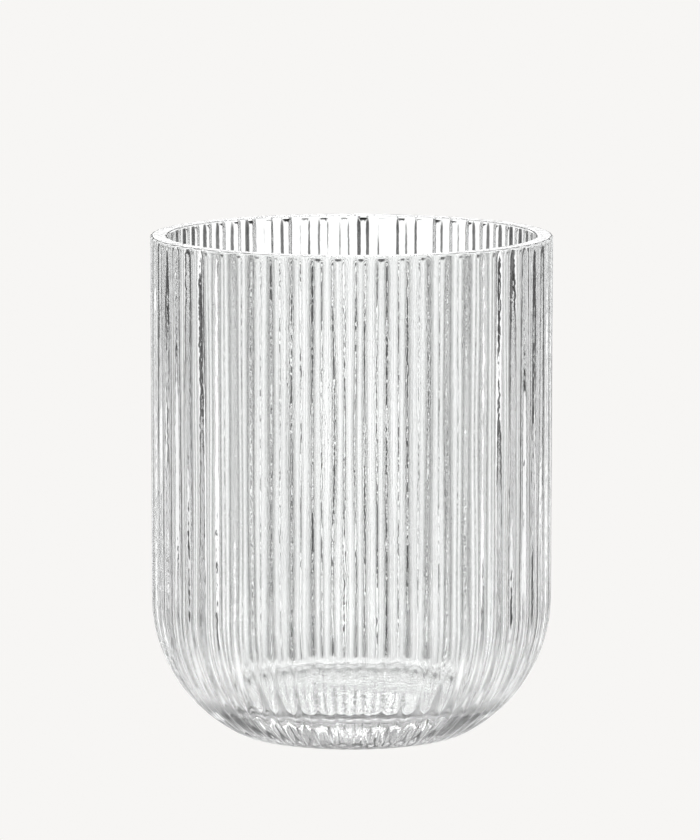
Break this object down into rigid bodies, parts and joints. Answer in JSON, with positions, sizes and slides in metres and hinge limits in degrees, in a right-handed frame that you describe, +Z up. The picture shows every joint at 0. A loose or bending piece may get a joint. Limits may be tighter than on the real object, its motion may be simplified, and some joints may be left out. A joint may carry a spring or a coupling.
{
  "type": "chai glass",
  "caption": "Clear pressed-glass tumbler for tea: straight wall with vertical reeds outside, smooth inside, rounded heel and thick base.",
  "frame": {"origin": "centre of the foot, on the surface that the glass stands on", "axes": "+Z up along the axis of the glass, +X through the crest of one reed"},
  "size_m": [0.075, 0.075, 0.093],
  "materials": {
    "clear_glass": "clear pressed soda-lime glass, fire-polished, with faint mould waviness"
  },
  "bodies": {
    "root": {"tumbler": "clear_glass"}
  },
  "joints": []
}
